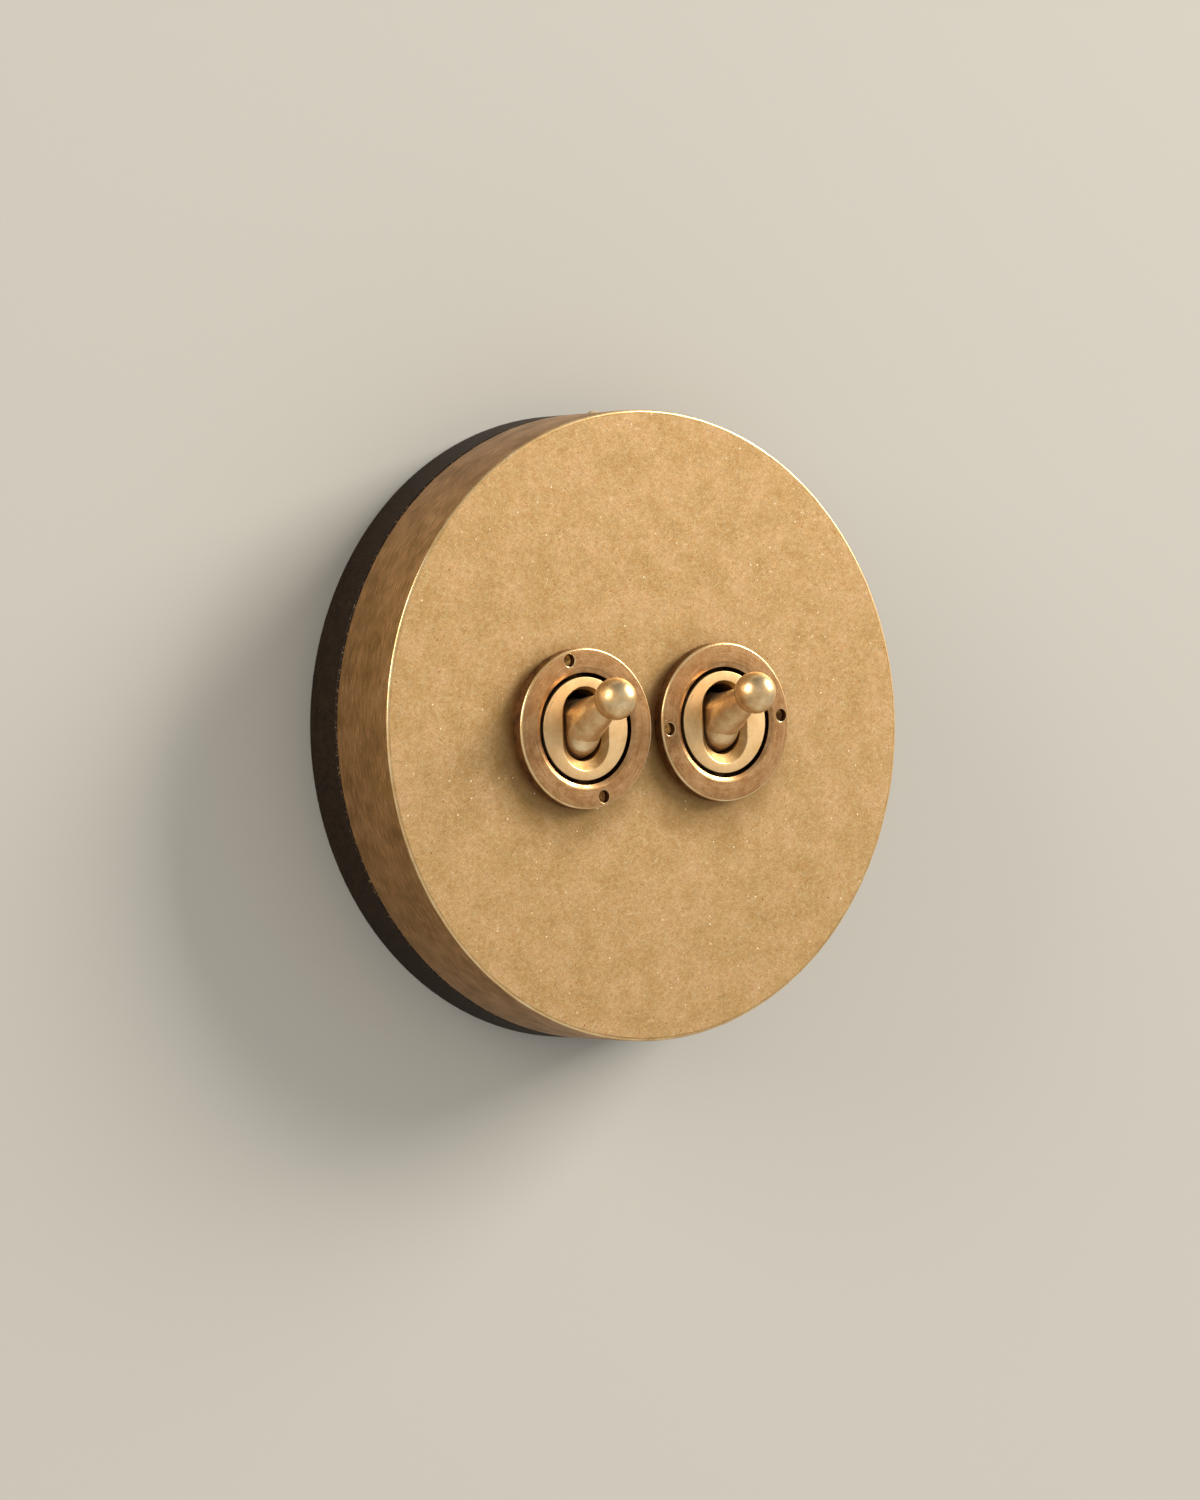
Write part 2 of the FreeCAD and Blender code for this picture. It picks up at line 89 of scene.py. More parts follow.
def makeCamera(look):
    azimuth, elevation, roll = (math.radians(look[key]) for key in ("azimuth", "elevation", "roll"))
    flat = math.cos(elevation)
    back = Vector((math.sin(azimuth) * flat, -math.cos(azimuth) * flat, math.sin(elevation)))
    level = Vector((math.cos(azimuth), math.sin(azimuth), 0))
    upright = back.cross(level)
    right = math.cos(roll) * level - math.sin(roll) * upright
    up = math.sin(roll) * level + math.cos(roll) * upright
    stand = (back * look["distance"] + right * look["sideways"] + up * look["raised"]) * mm
    data = bpy.data.cameras.new("photoCamera")
    data.sensor_width = look["sensor"]
    data.lens = look["focalPixels"] / look["imageHeight"] * look["sensor"]
    data.clip_start, data.clip_end = look["clip"]
    camera = bpy.data.objects.new("photoCamera", data)
    scene.collection.objects.link(camera)
    camera.matrix_world = Matrix.Translation(stand) @ Matrix((right, up, back)).transposed().to_4x4()
    scene.camera = camera


makeCamera(photoCamera)
print("camera set")


# Shape helpers
def arcPoints(centre, radius, start, end, steps):
    points = []
    for k in range(steps + 1):
        turn = math.radians(start + (end - start) * k / steps)
        points.append((centre[0] + radius * math.cos(turn), centre[1] + radius * math.sin(turn)))
    return points


def softCorners(corners, steps=4):
    # each corner is (radius, height, rounding); the rounding is what a worn or deburred edge has
    points = []
    for k, (radius, height, rounding) in enumerate(corners):
        here = Vector((radius, height))
        if rounding == 0:
            points.append(tuple(here))
            continue
        before = (Vector(corners[k - 1][:2]) - here).normalized()
        after = (Vector(corners[(k + 1) % len(corners)][:2]) - here).normalized()
        half = before.angle(after) / 2
        centre = here + (before + after).normalized() * rounding / math.sin(half)
        first = here + before * rounding / math.tan(half) - centre
        last = here + after * rounding / math.tan(half) - centre
        spread = math.pi - 2 * half
        for step in range(steps + 1):
            share = step / steps
            blend = first * math.sin((1 - share) * spread) + last * math.sin(share * spread)
            points.append(tuple(centre + blend / math.sin(spread)))
    return points


def onWall(across, up, out):
    return Vector((across, -out, up)) * mm


def softenShading(piece, sharpAngle=32):
    mesh = piece.data
    mesh.polygons.foreach_set("use_smooth", [True] * len(mesh.polygons))
    mesh.set_sharp_from_angle(angle=math.radians(sharpAngle))


def finishMesh(name, bm):
    bmesh.ops.remove_doubles(bm, verts=bm.verts, dist=weldMade)
    bmesh.ops.recalc_face_normals(bm, faces=bm.faces)
    mesh = bpy.data.meshes.new(name)
    bm.to_mesh(mesh)
    bm.free()
    piece = bpy.data.objects.new(name, mesh)
    scene.collection.objects.link(piece)
    softenShading(piece)
    return piece


def bridgeLoops(name, loops):
    # a closed skin through rings of points; a ring of one point is a pole
    bm = bmesh.new()
    rings = [[bm.verts.new(point) for point in loop] for loop in loops]
    count = max(len(ring) for ring in rings)
    for first, second in zip(rings, rings[1:] + rings[:1]):
        if len(first) == 1 and len(second) == 1:
            continue
        for i in range(count):
            j = (i + 1) % count
            corners = []
            for ring, k in ((first, i), (first, j), (second, j), (second, i)):
                vert = ring[k % len(ring)]
                if vert not in corners:
                    corners.append(vert)
            if len(corners) > 2:
                bm.faces.new(corners)
    return finishMesh(name, bm)


def turnedPiece(name, profile, segments=256, across=0.0):
    loops = []
    for radius, out in profile:
        if radius < poleRadius:
            loops.append([onWall(across, 0, out)])
            continue
        turns = [2 * math.pi * k / segments for k in range(segments)]
        loops.append([onWall(across + radius * math.cos(t), radius * math.sin(t), out) for t in turns])
    return bridgeLoops(name, loops)


def turnedRod(name, radius, start, end, segments, across=0.0):
    return turnedPiece(name, [(0, start), (radius, start), (radius, end), (0, end)], segments, across)


def settle(piece, sharpAngle=32):
    # makes the evaluated mesh the piece's own and drops its modifiers
    evaluated = piece.evaluated_get(bpy.context.evaluated_depsgraph_get())
    mesh = bpy.data.meshes.new_from_object(evaluated)
    piece.modifiers.clear()
    piece.data = mesh
    softenShading(piece, sharpAngle)
    return piece


def cutWith(piece, others, operation="DIFFERENCE"):
    for other in others:
        modifier = piece.modifiers.new("cut", "BOOLEAN")
        modifier.object = other
        modifier.operation = operation
        modifier.solver = "EXACT"
    settle(piece)
    for other in others:
        bpy.data.objects.remove(other)


def place(piece, matrix):
    piece.data.transform(matrix)


def paint(piece, finishes, finishAt):
    # finishAt picks a polygon's finish from its middle, in millimetres, and its normal
    for finish in finishes:
        piece.data.materials.append(finish)
    for polygon in piece.data.polygons:
        polygon.material_index = finishes.index(finishAt(polygon.center / mm, polygon.normal))


def carry(piece, body, slot, *nodes):
    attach(piece, body)
    if nodes:
        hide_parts(*nodes)


# Node helpers. A colour Mix node takes its share at socket 0 and its colours at 6 and 7, and gives output 2
def hexColour(text):
    channels = [int(text[i:i + 2], 16) / 255 for i in (1, 3, 5)]
    return [c / 12.92 if c <= 0.04045 else ((c + 0.055) / 1.055) ** 2.4 for c in channels] + [1.0]


def addNode(tree, kind, inputs=None, stops=None, **settings):
    made = tree.nodes.new(kind)
    for name, value in settings.items():
        setattr(made, name, value)
    for key, value in (inputs or {}).items():
        if isinstance(value, bpy.types.NodeSocket):
            tree.links.new(value, made.inputs[key])
        else:
            made.inputs[key].default_value = value
    if stops:
        elements = made.color_ramp.elements
        while len(elements) < len(stops):
            elements.new(0.5)
        for element, (position, colour) in zip(elements, stops):
            element.position = position
            element.color = hexColour(colour) if isinstance(colour, str) else (colour, colour, colour, 1)
    return made


def startMaterial(name):
    material = bpy.data.materials.new(name)
    material.use_nodes = True
    tree = material.node_tree
    tree.nodes.clear()
    shader = addNode(tree, "ShaderNodeBsdfPrincipled")
    addNode(tree, "ShaderNodeOutputMaterial", {"Surface": shader.outputs[0]})
    coordinates = addNode(tree, "ShaderNodeTexCoord")
    inMm = addNode(tree, "ShaderNodeVectorMath", {
        0: coordinates.outputs["Object"], "Scale": 1 / mm,
    }, operation="SCALE")
    return material, tree, shader, inMm.outputs[0]


def turnedMarks(tree, inMm, look):
    # marks that run round an axis along y: slow round the turn, fast along radius and depth
    parts = addNode(tree, "ShaderNodeSeparateXYZ", {0: inMm})
    across = parts.outputs[0]
    if look["centre"]:
        # one pattern serves both switches, which stand as far to either side
        size = addNode(tree, "ShaderNodeMath", {0: across}, operation="ABSOLUTE")
        across = addNode(tree, "ShaderNodeMath", {
            0: size.outputs[0], 1: look["centre"],
        }, operation="SUBTRACT").outputs[0]
    flat = addNode(tree, "ShaderNodeCombineXYZ", {0: across, 2: parts.outputs[2]})
    radius = addNode(tree, "ShaderNodeVectorMath", {0: flat.outputs[0]}, operation="LENGTH")
    unit = addNode(tree, "ShaderNodeVectorMath", {0: flat.outputs[0]}, operation="NORMALIZE")
    slow = addNode(tree, "ShaderNodeVectorMath", {
        0: unit.outputs[0], "Scale": look["cycles"],
    }, operation="SCALE")
    along = addNode(tree, "ShaderNodeMath", {
        0: radius.outputs["Value"], 1: parts.outputs[1],
    }, operation="ADD")
    fast = addNode(tree, "ShaderNodeMath", {0: along.outputs[0], 1: 1 / look["markMm"]}, operation="MULTIPLY")
    deep = addNode(tree, "ShaderNodeCombineXYZ", {1: fast.outputs[0]})
    return [addNode(tree, "ShaderNodeVectorMath", {0: slow.outputs[0], 1: deep.outputs[0]}).outputs[0]]


def scouredMarks(tree, inMm, look):
    # marks of a scouring pad, which curl: each layer has its own angle, and a broad noise pushes it about
    push = addNode(tree, "ShaderNodeTexNoise", {
        "Vector": inMm, "Scale": 1 / look["curlEveryMm"], "Detail": 1.0,
    })
    centred = addNode(tree, "ShaderNodeVectorMath", {
        0: push.outputs["Color"], 1: (0.5, 0.5, 0.5),
    }, operation="SUBTRACT")
    curled = addNode(tree, "ShaderNodeVectorMath", {
        0: centred.outputs[0], 1: (look["curlMm"],) * 3, 2: inMm,
    }, operation="MULTIPLY_ADD")
    stretch = (1 / look["markLengthMm"], 1 / look["markLengthMm"], 1 / look["markMm"])
    vectors = []
    for angle in look["angles"]:
        turned = addNode(tree, "ShaderNodeVectorRotate", {
            "Vector": curled.outputs[0], "Axis": (0, 1, 0), "Angle": math.radians(angle),
        })
        vectors.append(addNode(tree, "ShaderNodeVectorMath", {
            0: turned.outputs[0], 1: stretch,
        }, operation="MULTIPLY").outputs[0])
    return vectors


def layMarks(tree, vectors):
    # the mean height of the layers of marks, and the hair scratches among them
    total = scratches = 0.0
    for vector in vectors:
        layer = addNode(tree, "ShaderNodeTexNoise", {
            "Vector": vector, "Scale": 1.0, "Detail": 2.0, "Roughness": 0.6,
        })
        scratch = addNode(tree, "ShaderNodeValToRGB", {0: layer.outputs["Fac"]}, [(0.62, 0.0), (0.70, 1.0)])
        total = addNode(tree, "ShaderNodeMath", {
            0: layer.outputs["Fac"], 1: total,
        }, operation="ADD").outputs[0]
        scratches = addNode(tree, "ShaderNodeMath", {
            0: scratch.outputs[0], 1: scratches,
        }, operation="MAXIMUM").outputs[0]
    mean = addNode(tree, "ShaderNodeMath", {0: total, 1: 1 / len(vectors)}, operation="MULTIPLY")
    return mean.outputs[0], scratches


def addTarnishAndPaintedShadow(tree, colour, inMm, clouds, look):
    # tarnish from handling round each nut, together with a painted shadow of the nut: the ring is thrown a
    # little to the lower left, where the key light's shade falls
    nearest = coverRadius
    for switch in switches.values():
        away = addNode(tree, "ShaderNodeVectorMath", {
            0: inMm, 1: (switch["across"] + look["haloShift"][0], 0, look["haloShift"][1]),
        }, operation="SUBTRACT")
        flat = addNode(tree, "ShaderNodeVectorMath", {0: away.outputs[0], 1: (1, 0, 1)}, operation="MULTIPLY")
        reach = addNode(tree, "ShaderNodeVectorMath", {0: flat.outputs[0]}, operation="LENGTH")
        nearest = addNode(tree, "ShaderNodeMath", {
            0: reach.outputs["Value"], 1: nearest,
        }, operation="MINIMUM").outputs[0]
    ragged = addNode(tree, "ShaderNodeMath", {
        0: clouds, 1: look["haloRagged"], 2: nearest,
    }, operation="MULTIPLY_ADD")
    near, far = (limit + look["haloRagged"] / 2 for limit in look["haloReach"])
    share = addNode(tree, "ShaderNodeMapRange", {
        "Value": ragged.outputs[0], "From Min": near, "From Max": far,
        "To Min": look["haloAmount"], "To Max": 0.0,
    }, interpolation_type="SMOOTHSTEP")
    return addNode(tree, "ShaderNodeMix", {
        0: share.outputs[0], 6: colour, 7: hexColour(look["halo"]),
    }, data_type="RGBA").outputs[2]


def addSpecks(tree, colour, inMm, look):
    # dark and bright specks in the plane of a flat front, one in a share of the cells of a Voronoi pattern
    parts = addNode(tree, "ShaderNodeSeparateXYZ", {0: inMm})
    plan = addNode(tree, "ShaderNodeCombineXYZ", {0: parts.outputs[0], 1: parts.outputs[2]})
    cells = addNode(tree, "ShaderNodeTexVoronoi", {
        "Vector": plan.outputs[0], "Scale": 1 / look["speckMm"],
    }, voronoi_dimensions="2D")
    chance = addNode(tree, "ShaderNodeSeparateColor", {0: cells.outputs["Color"]})
    size = addNode(tree, "ShaderNodeMapRange", {
        "Value": chance.outputs[0], "From Min": 1 - look["specks"], "From Max": 1.0,
        "To Min": 0.0, "To Max": look["speckSize"],
    })
    dot = addNode(tree, "ShaderNodeMath", {
        0: cells.outputs["Distance"], 1: size.outputs[0],
    }, operation="LESS_THAN")
    bright = addNode(tree, "ShaderNodeMath", {0: chance.outputs[1], 1: 0.5}, operation="GREATER_THAN")
    speck = addNode(tree, "ShaderNodeMix", {
        0: bright.outputs[0], 6: hexColour(look["speckDark"]), 7: hexColour(look["speckLight"]),
    }, data_type="RGBA")
    return addNode(tree, "ShaderNodeMix", {
        0: dot.outputs[0], 6: colour, 7: speck.outputs[2],
    }, data_type="RGBA").outputs[2]


def agedBrass(name, look):
    # metal under a tarnish film: clouds, warm and pale freckles, finishing marks, scratches and specks, and,
    # where the look has one, a darker ring round the nuts that is tarnish and painted shadow
    material, tree, shader, inMm = startMaterial(name)
    clouds = addNode(tree, "ShaderNodeTexNoise", {
        "Vector": inMm, "Scale": 1 / look["cloudMm"], "Detail": 6.0, "Roughness": 0.6,
    })
    film = addNode(tree, "ShaderNodeValToRGB", {0: clouds.outputs["Fac"]}, [
        (0.37, look["dark"]), (0.50, look["middle"]), (0.63, look["light"]),
    ])
    freckles = addNode(tree, "ShaderNodeTexNoise", {
        "Vector": inMm, "Scale": 1 / look["freckleMm"], "Detail": 4.0, "Roughness": 0.75,
    })
    warmShare = addNode(tree, "ShaderNodeValToRGB", {0: freckles.outputs["Fac"]}, [
        (0.50, 0.0), (0.74, look["freckleAmount"]),
    ])
    warm = addNode(tree, "ShaderNodeMix", {
        0: warmShare.outputs[0], 6: film.outputs[0], 7: hexColour(look["freckle"]),
    }, data_type="RGBA")
    paleShare = addNode(tree, "ShaderNodeValToRGB", {0: freckles.outputs["Fac"]}, [
        (0.28, look["paleAmount"]), (0.48, 0.0),
    ])
    freckled = addNode(tree, "ShaderNodeMix", {
        0: paleShare.outputs[0], 6: warm.outputs[2], 7: hexColour(look["pale"]),
    }, data_type="RGBA")

    # the marks and the grain darken and lighten the film a little, and the scratches show through it
    vectors = (turnedMarks if "cycles" in look else scouredMarks)(tree, inMm, look)
    marks, scratches = layMarks(tree, vectors)
    swing = 0.18 / len(vectors) ** 0.5  # the mean of several layers swings less
    markTone = addNode(tree, "ShaderNodeMapRange", {
        "Value": marks, "From Min": 0.5 - swing, "From Max": 0.5 + swing,
        "To Min": 1 - look["markTone"], "To Max": 1 + look["markTone"],
    })
    grain = addNode(tree, "ShaderNodeTexNoise", {"Vector": inMm, "Scale": 1 / look["grainMm"], "Detail": 1.0})
    grainTone = addNode(tree, "ShaderNodeMapRange", {
        "Value": grain.outputs["Fac"], "From Min": 0.3, "From Max": 0.7,
        "To Min": 1 - look["grainTone"], "To Max": 1 + look["grainTone"],
    })
    bothTones = addNode(tree, "ShaderNodeMath", {
        0: markTone.outputs[0], 1: grainTone.outputs[0],
    }, operation="MULTIPLY")
    toned = addNode(tree, "ShaderNodeVectorMath", {
        0: freckled.outputs[2], "Scale": bothTones.outputs[0],
    }, operation="SCALE")
    scratchShare = addNode(tree, "ShaderNodeMath", {
        0: scratches, 1: look["scratchAmount"],
    }, operation="MULTIPLY")
    colour = addNode(tree, "ShaderNodeMix", {
        0: scratchShare.outputs[0], 6: toned.outputs[0], 7: hexColour(look["scratch"]),
    }, data_type="RGBA").outputs[2]
    # the darker ring round the nuts: tarnish and a painted shadow thrown to the lower left
    if "halo" in look:
        colour = addTarnishAndPaintedShadow(tree, colour, inMm, clouds.outputs["Fac"], look)
    if look["specks"]:
        colour = addSpecks(tree, colour, inMm, look)
    tree.links.new(colour, shader.inputs["Base Color"])

    shader.inputs["Metallic"].default_value = look["metallic"]
    rough = addNode(tree, "ShaderNodeMapRange", {
        "Value": clouds.outputs["Fac"], "From Min": 0.3, "From Max": 0.7,
        "To Min": look["rough"] + look["roughSpread"], "To Max": look["rough"] - look["roughSpread"],
    })
    tree.links.new(rough.outputs[0], shader.inputs["Roughness"])
    grainHeight = addNode(tree, "ShaderNodeMath", {
        0: grain.outputs["Fac"], 1: look["grainShare"],
    }, operation="MULTIPLY")
    height = addNode(tree, "ShaderNodeMath", {0: marks, 1: grainHeight.outputs[0]}, operation="ADD")
    bump = addNode(tree, "ShaderNodeBump", {
        "Height": height.outputs[0], "Strength": look["bump"], "Distance": look["bumpMm"] * mm,
    })
    tree.links.new(bump.outputs[0], shader.inputs["Normal"])
    return material


# Aged brass sheet, scoured flat: tan with faint clouds, a fine grain and curling hair scratches. Real ones
# are a few hundredths of a millimetre wide, and both are drawn coarser than real, so that they show
faceLook = {
    "cloudMm": 5.0, "dark": "#b5925f", "middle": "#c09c69", "light": "#cca574",
    "freckleMm": 0.7, "freckleAmount": 0.55, "freckle": "#b07a3e", "paleAmount": 0.34, "pale": "#d8c19a",
    "angles": (38, -42, 64, 8), "markLengthMm": 1.5, "markMm": 0.18, "markTone": 0.10,
    "curlMm": 1.3, "curlEveryMm": 2.8, "scratchAmount": 0.24, "scratch": "#e8d2a6",
    "specks": 0.17, "speckMm": 1.2, "speckSize": 0.105, "speckDark": "#97602c", "speckLight": "#fdecc8",
    "metallic": 0.9, "rough": 0.47, "roughSpread": 0.05,
    "grainMm": 0.26, "grainTone": 0.09, "grainShare": 0.9, "bump": 0.36, "bumpMm": 0.05,
}
# Darkening round each nut on the face: partly tarnish, partly a painted shadow that the nut casts to the
# lower left
tarnishAndShadowLook = {
    "halo": "#80602e", "haloAmount": 0.6,
    "haloReach": (10.0, 17.0), "haloRagged": 4.0, "haloShift": (-2.1, -2.1),
}
faceBrass = agedBrass("agedScouredBrassFace", dict(faceLook, **tarnishAndShadowLook))
# The same brass on the side wall, brushed round its turn, its streaks drawn coarser than real too. Its
# browner, darker colour is partly its own patina and partly painted shade, for the dark wall that the side
# reflects
shadedSideLook = dict(faceLook, **{
    "cloudMm": 4.0, "dark": "#8e693b", "middle": "#a27848", "light": "#b08454",
    "freckleMm": 1.0, "freckleAmount": 0.40, "freckle": "#985d38", "paleAmount": 0.25, "pale": "#ad9262",
    "centre": 0.0, "cycles": 22.0, "markMm": 0.22, "markTone": 0.30,
    "scratchAmount": 0.30, "scratch": "#dcb483", "specks": 0.0,
    "grainTone": 0.08, "rough": 0.42, "bump": 0.4, "bumpMm": 0.04,
})
sideBrassWithPaintedShade = agedBrass("agedBrushedBrassSideWithPaintedShade", shadedSideLook)
# Edge where the tarnish has rubbed through to bright brass
edgeLook = dict(shadedSideLook, **{
    "dark": "#d5ae74", "middle": "#e8c68f", "light": "#f4d9a8",
    "freckle": "#c2955c", "freckleAmount": 0.2, "pale": "#f8e0b8",
    "markTone": 0.06, "grainTone": 0.03, "scratch": "#fff3da", "metallic": 0.75, "rough": 0.27, "bump": 0.1,
})
edgeBrass = agedBrass("rubbedBrassEdge", edgeLook)
# Darker line just inside the edge, all round the face
edgeLineBrass = agedBrass("darkLineInsideEdge", dict(
    shadedSideLook, dark="#a07c49", middle="#b8935e", light="#c7a270"
))
# Turned ring nut under a reddish tarnish. The tool's marks run round its axis, drawn coarser than the 0.1 mm
# of real ones
ringLook = dict(shadedSideLook, **{
    "cloudMm": 1.6, "dark": "#9b7045", "middle": "#ad8254", "light": "#ba9063",
    "freckleMm": 0.45, "freckleAmount": 0.40, "freckle": "#96653d", "paleAmount": 0.30, "pale": "#c8a47a",
    "centre": switchAcross, "cycles": 2.6, "markMm": 0.20, "markTone": 0.13,
    "scratchAmount": 0.28, "scratch": "#dcb88e",
    "specks": 0.03, "speckMm": 0.8, "speckLight": "#ffe9cb", "rough": 0.41, "bump": 0.32,
})
ringBrass = agedBrass("tarnishedTurnedRingBrass", ringLook)
# The nut's outside and the walls of its holes, darkened for dirt and oil and for painted shade on these sides
# and in these recesses
grimeAndShadeBrass = agedBrass("grimeAndPaintedShadeRingBrass", dict(
    ringLook, dark="#5c3d22", middle="#7d5633", light="#93693f", rough=0.5, specks=0.0
))
# The nut's cut inner chamfer, smoother than its front, so that it flashes where it faces the light
chamferBrass = agedBrass("smoothCutChamferBrass", dict(
    ringLook, dark="#a97c4c", middle="#bd9060", light="#cca272",
    rough=0.31, grainTone=0.04, bump=0.12, specks=0.0
))
# Near-black of oiled dirt and painted shade in the gap round the bush and in the thread's root, with pale
# freckles painted as glints on bare crests here and there
dirtAndShadeHoleBrass = agedBrass("dirtAndPaintedShadeHoleBrass", dict(
    ringLook, dark="#1d1109", middle="#38220f", light="#5f3f22", pale="#8c6238", freckle="#241509",
    rough=0.45, specks=0.0
))
# Bottom of a drilled hole, golden where the drill's point left it bare
drilledBrass = agedBrass("drilledHoleBrass", dict(
    ringLook, dark="#6f4822", middle="#a3733a", light="#d3a35a", freckle="#4a2c18", rough=0.3, specks=0.0
))
# Satin front of the bush, paler and smoother than the nut
discLook = dict(ringLook, **{
    "cloudMm": 3.0, "dark": "#d6af79", "middle": "#e2bc86", "light": "#ecc894",
    "freckleMm": 0.4, "freckleAmount": 0.16, "freckle": "#b78d58", "pale": "#ecd3a8", "paleAmount": 0.2,
    "markTone": 0.03, "grainTone": 0.03, "scratchAmount": 0.10, "specks": 0.0,
    "metallic": 1.0, "rough": 0.45, "bump": 0.12,
})
discBrass = agedBrass("satinTurnedBushBrass", discLook)
# Sloped lip of the slot, duller than the front; its browner colour is painted shade that tones down the key
# light on the slope
shadedLipBrass = agedBrass("dullShadedSlotLipBrass", dict(
    discLook, dark="#94713f", middle="#a98655", light="#b99868", pale="#c4a87c", freckle="#7f5c33", rough=0.5
))
# Lever polished by fingers, with soft smudges of tarnish left on the ball
leverLook = dict(discLook, **{
    "cloudMm": 1.8, "dark": "#dcb27a", "middle": "#ebc791", "light": "#f6daaa",
    "freckleMm": 0.35, "freckleAmount": 0.30, "freckle": "#c3955c", "paleAmount": 0.25, "pale": "#feedcd",
    "metallic": 0.92, "rough": 0.30, "roughSpread": 0.05, "markMm": 0.3, "bump": 0.12,
})
leverBrass = agedBrass("fingerPolishedLeverBrass", leverLook)
print("brass finishes made")


def plainFinish(name, look):
    # one tone with a fine mottling, its roughness moving with it, and paler flecks painted into the colour as
    # glints
    material, tree, shader, inMm = startMaterial(name)
    mottle = addNode(tree, "ShaderNodeTexNoise", {
        "Vector": inMm, "Scale": 1 / look["mottleMm"], "Detail": 5.0, "Roughness": 0.7,
    })
    tone = addNode(tree, "ShaderNodeValToRGB", {0: mottle.outputs["Fac"]}, [
        (0.35, look["dark"]), (0.68, look["light"]),
    ])
    flecks = addNode(tree, "ShaderNodeTexNoise", {
        "Vector": inMm, "Scale": 1 / look["fleckMm"], "Detail": 2.0, "Roughness": 0.6,
    })
    fleckShare = addNode(tree, "ShaderNodeMapRange", {
        "Value": flecks.outputs["Fac"], "From Min": look["fleckFrom"], "From Max": look["fleckFrom"] + 0.1,
    })
    colour = addNode(tree, "ShaderNodeMix", {
        0: fleckShare.outputs[0], 6: tone.outputs[0], 7: hexColour(look["fleck"]),
    }, data_type="RGBA")
    rough = addNode(tree, "ShaderNodeMapRange", {
        "Value": mottle.outputs["Fac"], "From Min": 0.3, "From Max": 0.7,
        "To Min": look["rough"] - look["roughSpread"], "To Max": look["rough"] + look["roughSpread"],
    })
    bump = addNode(tree, "ShaderNodeBump", {
        "Height": flecks.outputs["Fac"], "Strength": look["bump"], "Distance": look["bumpMm"] * mm,
    })
    tree.links.new(colour.outputs[2], shader.inputs["Base Color"])
    tree.links.new(rough.outputs[0], shader.inputs["Roughness"])
    tree.links.new(bump.outputs[0], shader.inputs["Normal"])
    shader.inputs["Metallic"].default_value = look["metallic"]
    shader.inputs["Specular IOR Level"].default_value = look["gloss"]
    return material


# Near-black phenolic moulding with a dull skin, its pits drawn coarser than real so that they show
pattressLook = {
    "mottleMm": 1.1, "dark": "#160e07", "light": "#2b1d10",
    "fleckMm": 0.22, "fleckFrom": 0.62, "fleck": "#463727",
    "rough": 0.55, "roughSpread": 0.06, "bump": 0.5, "bumpMm": 0.05, "metallic": 0.0, "gloss": 0.12,
}
pattressMoulding = plainFinish("blackPhenolicMoulding", pattressLook)
# The moulding's front edge, chipped fine, with pale flecks painted on as an irregular row of glints
pattressEdgePaintedGlints = plainFinish("chippedPhenolicEdgePaintedGlints", dict(
    pattressLook, fleckMm=0.42, fleckFrom=0.56, fleck="#6f5a40", light="#2e2013",
    rough=0.45, bump=0.8, gloss=0.15
))
# Dark brown phenolic, semi-matt from the mould
housingMoulding = plainFinish("brownPhenolicMoulding", dict(
    pattressLook, mottleMm=2.5, dark="#2c170d", light="#43261a",
    fleckMm=0.5, fleckFrom=0.66, fleck="#593a28", rough=0.42, bump=0.2, bumpMm=0.03, gloss=0.5
))
# Rolled brass strip, still bright inside the housing
stripLook = {
    "mottleMm": 1.5, "dark": "#cda55a", "light": "#e6c47c",
    "fleckMm": 0.25, "fleckFrom": 0.66, "fleck": "#f0d79c",
    "rough": 0.3, "roughSpread": 0.05, "bump": 0.15, "bumpMm": 0.02, "metallic": 1.0, "gloss": 0.5,
}
stripBrass = plainFinish("rolledContactBrass", stripLook)
# Zinc plated steel with a grey-yellow cast
platedSteel = plainFinish("zincPlatedSteel", dict(
    stripLook, dark="#a9a594", light="#cfcbb8", fleck="#e3e0d2"
))
# Ground steel of the pins and plungers, cool and a little smoother
groundSteel = plainFinish("groundSteel", dict(
    stripLook, dark="#9b9b9b", light="#c4c4c4", fleck="#dcdcdc", rough=0.24
))
print("other finishes made")


# Cover: turned cup with a softened, rubbed front edge
coverShape = {
    "wall": 1.5, "frontRadius": 0.4, "rimChamfer": 0.2, "innerRadius": 1.2, "rimRounding": 0.05,
    "edgeLine": 0.12, "holeRadius": 8.0, "screwHoleRadius": 1.1, "segments": 512, "cornerSteps": 6,
    "rubbedFrom": 0.40, "rubbedTo": 0.96,  # the rubbed part of the edge, by how far it faces forward
}


